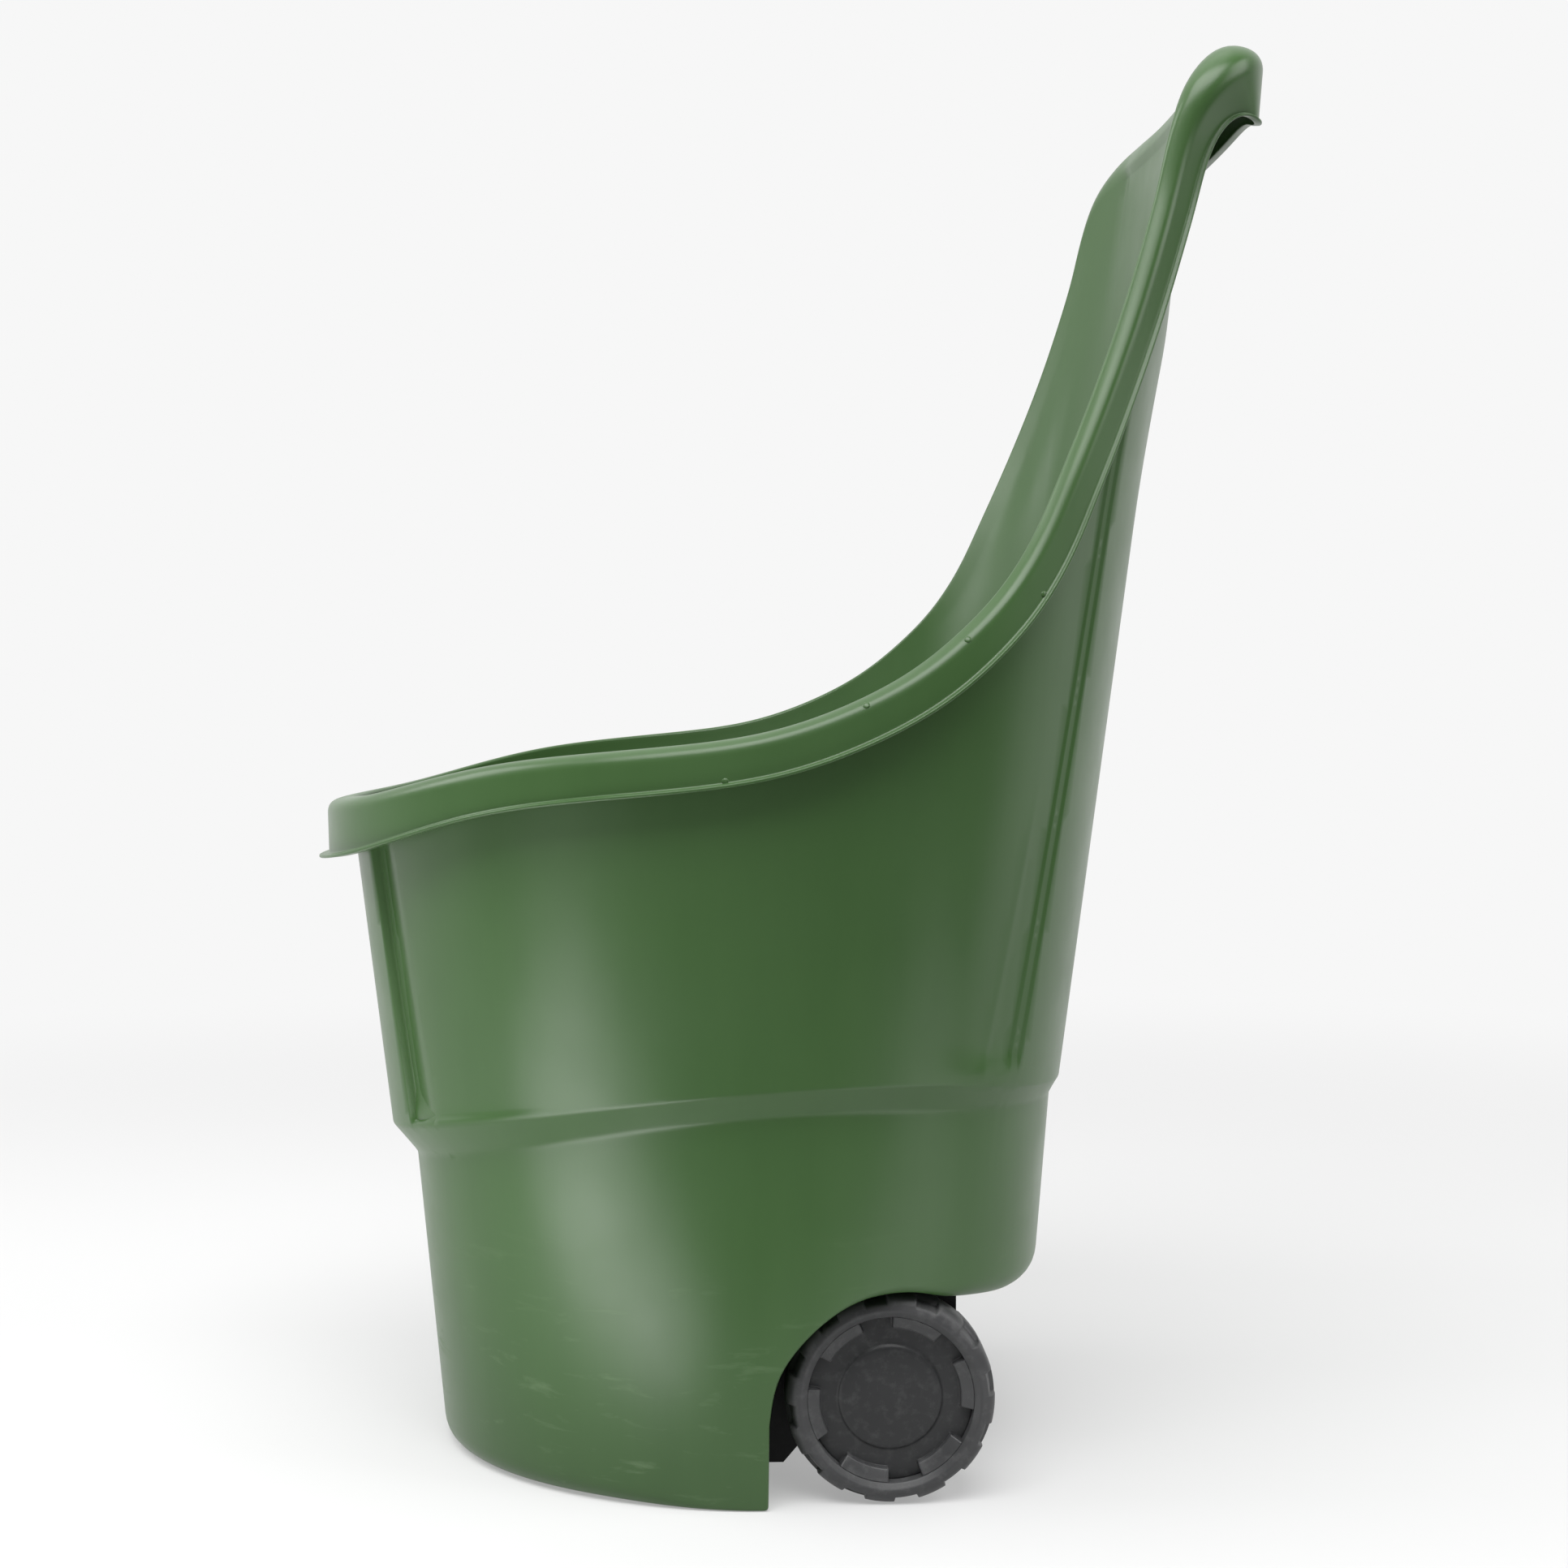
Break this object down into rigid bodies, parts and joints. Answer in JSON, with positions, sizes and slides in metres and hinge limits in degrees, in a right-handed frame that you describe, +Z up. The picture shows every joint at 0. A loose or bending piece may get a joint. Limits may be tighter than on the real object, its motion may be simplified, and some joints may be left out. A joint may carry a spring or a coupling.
{
  "type": "garden tub cart",
  "caption": "Moulded plastic garden cart: a flared tub with an overhanging rim that sweeps up into a tall back and looped handle, on small plastic wheels under the rear.",
  "frame": {"origin": "on the floor under the middle of the overall box", "axes": "+Z up, +X towards the handle and wheels, -X towards the low front lip, Y across; the object is symmetric about Y = 0"},
  "size_m": [0.5794, 0.4908, 0.8372],
  "materials": {
    "tub_plastic": "semi-gloss moulded polypropylene, mid green",
    "wheel_plastic": "dark grey moulded plastic",
    "carrier_plastic": "black moulded plastic",
    "steel": "zinc-plated steel"
  },
  "bodies": {
    "cart": {"axle_carrier": "carrier_plastic", "axle_rod": "steel", "axle_spacer_left": "carrier_plastic", "axle_spacer_right": "carrier_plastic", "carrier_nuts": "steel", "carrier_screws": "steel", "push_nut_left": "steel", "push_nut_right": "steel", "retaining_washer_left": "steel", "retaining_washer_right": "steel", "tub_shell": "tub_plastic"},
    "wheel_left": {"wheel_body_left": "wheel_plastic", "wheel_cover_left": "wheel_plastic"},
    "wheel_right": {"wheel_body_right": "wheel_plastic", "wheel_cover_right": "wheel_plastic"}
  },
  "joints": [
    {"name": "wheel_left_spin", "type": "hinge", "parent": "cart", "child": "wheel_left", "pos_m": [0.0548, -0.148, 0.06], "axis": [0, 1, 0], "continuous": true},
    {"name": "wheel_right_spin", "type": "hinge", "parent": "cart", "child": "wheel_right", "pos_m": [0.0548, 0.148, 0.06], "axis": [0, 1, 0], "continuous": true}
  ]
}
